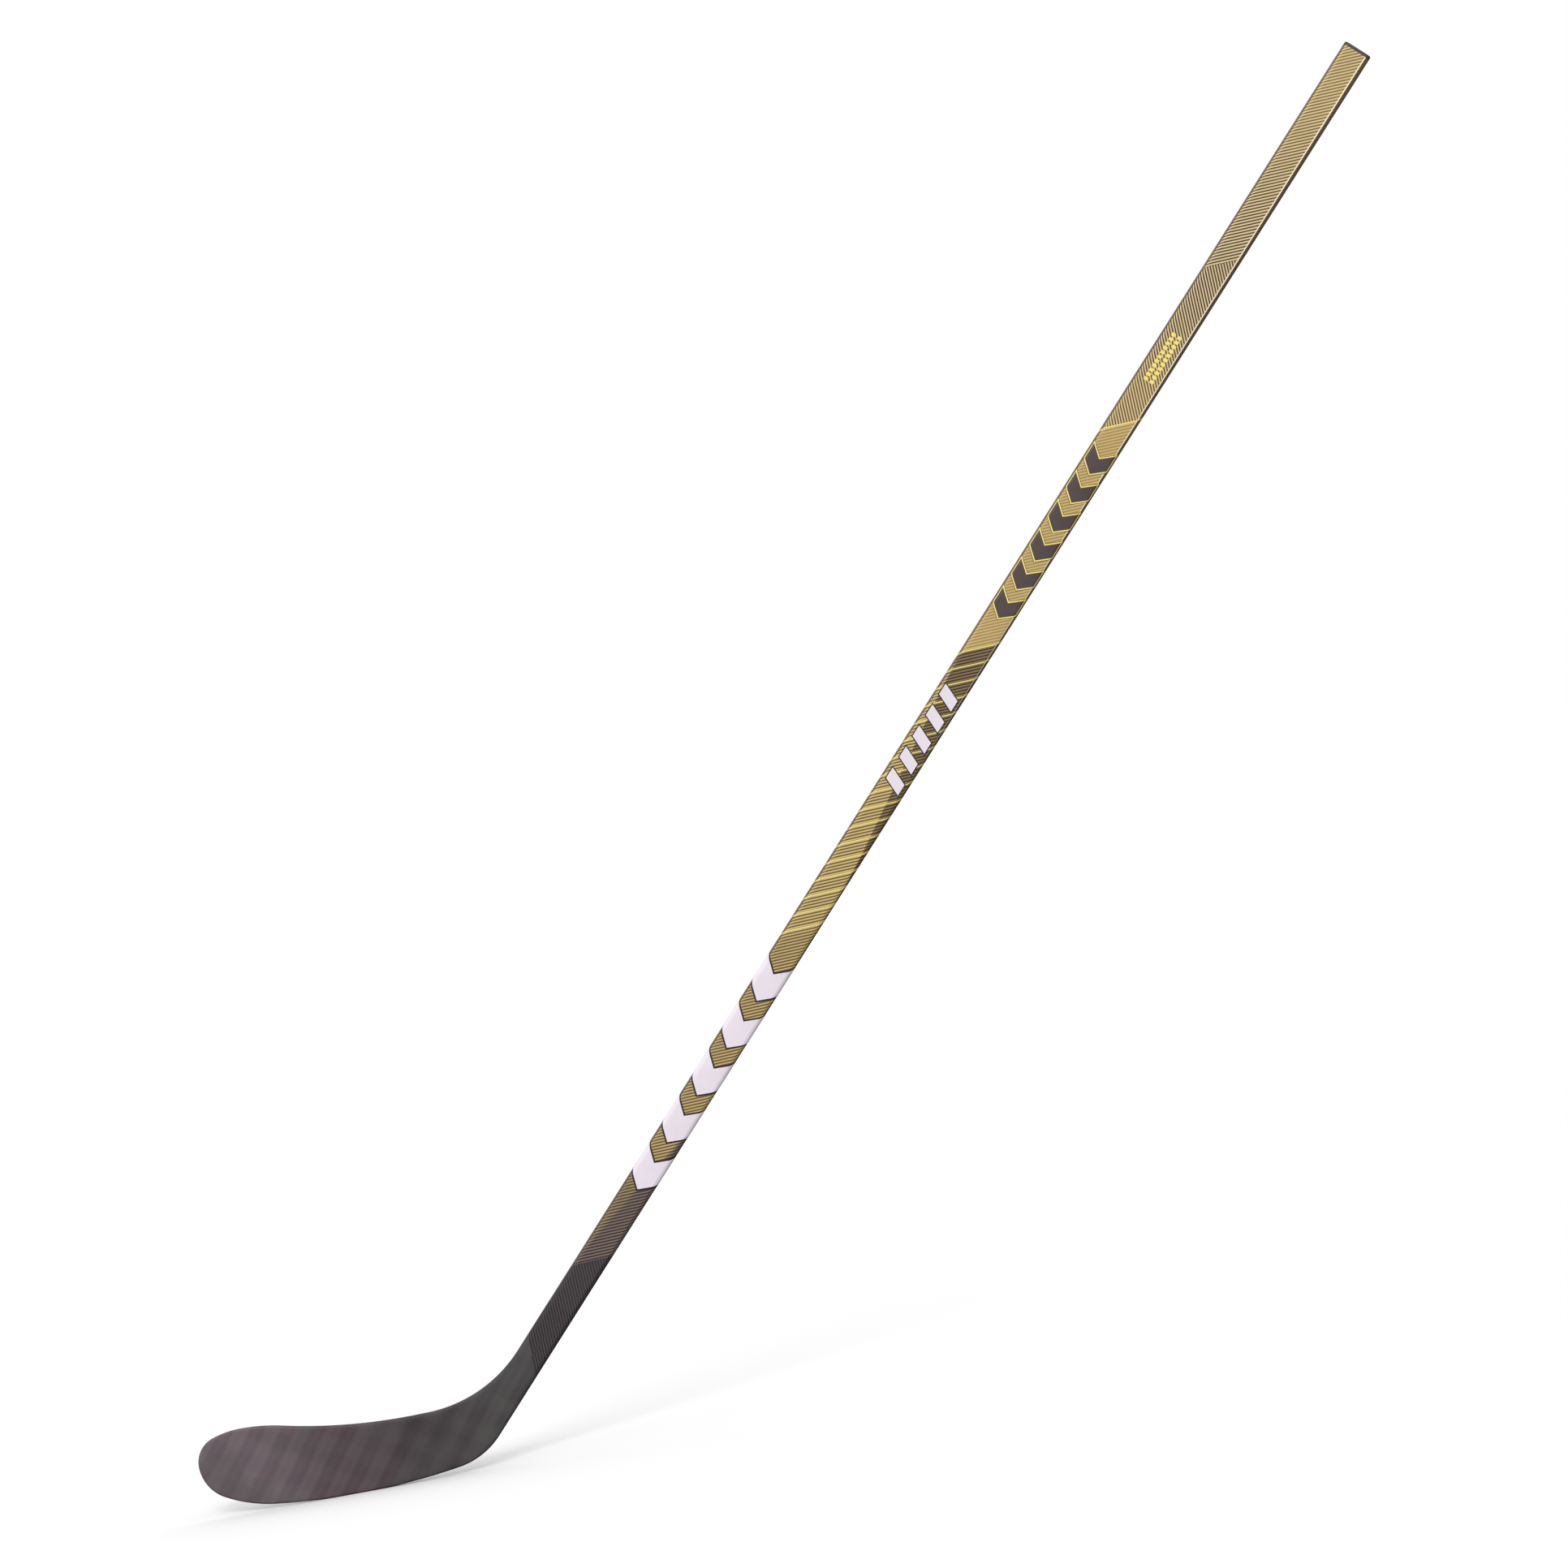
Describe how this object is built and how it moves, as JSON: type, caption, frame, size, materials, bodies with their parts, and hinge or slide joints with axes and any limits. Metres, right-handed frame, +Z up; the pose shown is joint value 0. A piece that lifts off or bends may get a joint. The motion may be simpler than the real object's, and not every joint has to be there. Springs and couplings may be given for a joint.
{
  "type": "ice hockey stick",
  "caption": "Senior one-piece composite ice hockey stick with a hollow lined shaft, foam-cored curved blade and moulded butt plug, left-handed.",
  "frame": {"origin": "middle of the short flat at the bottom of the blade's rocker, on the ice plane", "axes": "+Z up from the ice, +X from the toe towards the butt along the blade, +Y towards the side the toe curves to (the forehand side)"},
  "size_m": [1.3716, 0.0302, 1.2045],
  "materials": {
    "plug": "satin",
    "glue": "gloss",
    "laminate": "satin",
    "lined_ply": "satin",
    "blade_laminate": "satin",
    "filler": "satin",
    "blade_skin": "satin",
    "foam": "matte",
    "rib": "satin",
    "dense_core": "matte",
    "bright_film": "satin",
    "dark_film": "satin",
    "pale_film": "satin"
  },
  "bodies": {
    "root": {"butt_plug": "plug", "plug_adhesive": "glue", "shaft_tube": "laminate", "shaft_outer_ply": "lined_ply", "hosel_tenon": "blade_laminate", "tenon_adhesive": "glue", "seam_filler": "filler", "edge_binding": "blade_laminate", "blade_front_skin": "blade_skin", "blade_back_skin": "blade_skin", "upper_core": "foam", "lower_core": "foam", "core_rib": "rib", "toe_insert": "dense_core", "heel_core": "dense_core", "film_bright_lines": "bright_film", "film_small_dashes": "bright_film", "film_dark_marks": "dark_film", "film_pale_marks": "pale_film", "film_pale_blocks": "pale_film"}
  },
  "joints": []
}
